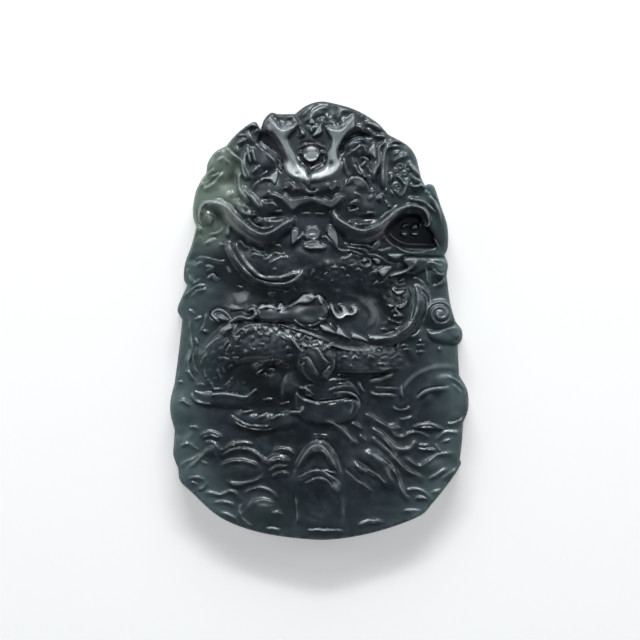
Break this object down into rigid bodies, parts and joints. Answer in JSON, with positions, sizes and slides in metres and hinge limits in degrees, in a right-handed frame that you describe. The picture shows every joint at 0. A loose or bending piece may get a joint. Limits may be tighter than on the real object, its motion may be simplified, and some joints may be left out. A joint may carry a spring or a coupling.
{
  "type": "jade plaque",
  "caption": "Upright oval plaque of dark jade with a coiled dragon carved in deep relief over clouds and waves, with a flat back.",
  "frame": {"origin": "middle of the flat back, which lies on Z = 0", "axes": "+Y towards the top of the carving, +Z out of the carved face, +X to the right as the face is seen"},
  "size_m": [0.0428, 0.0628, 0.0136],
  "materials": {
    "jade": "high polish"
  },
  "bodies": {
    "root": {"plaque": "jade"}
  },
  "joints": []
}
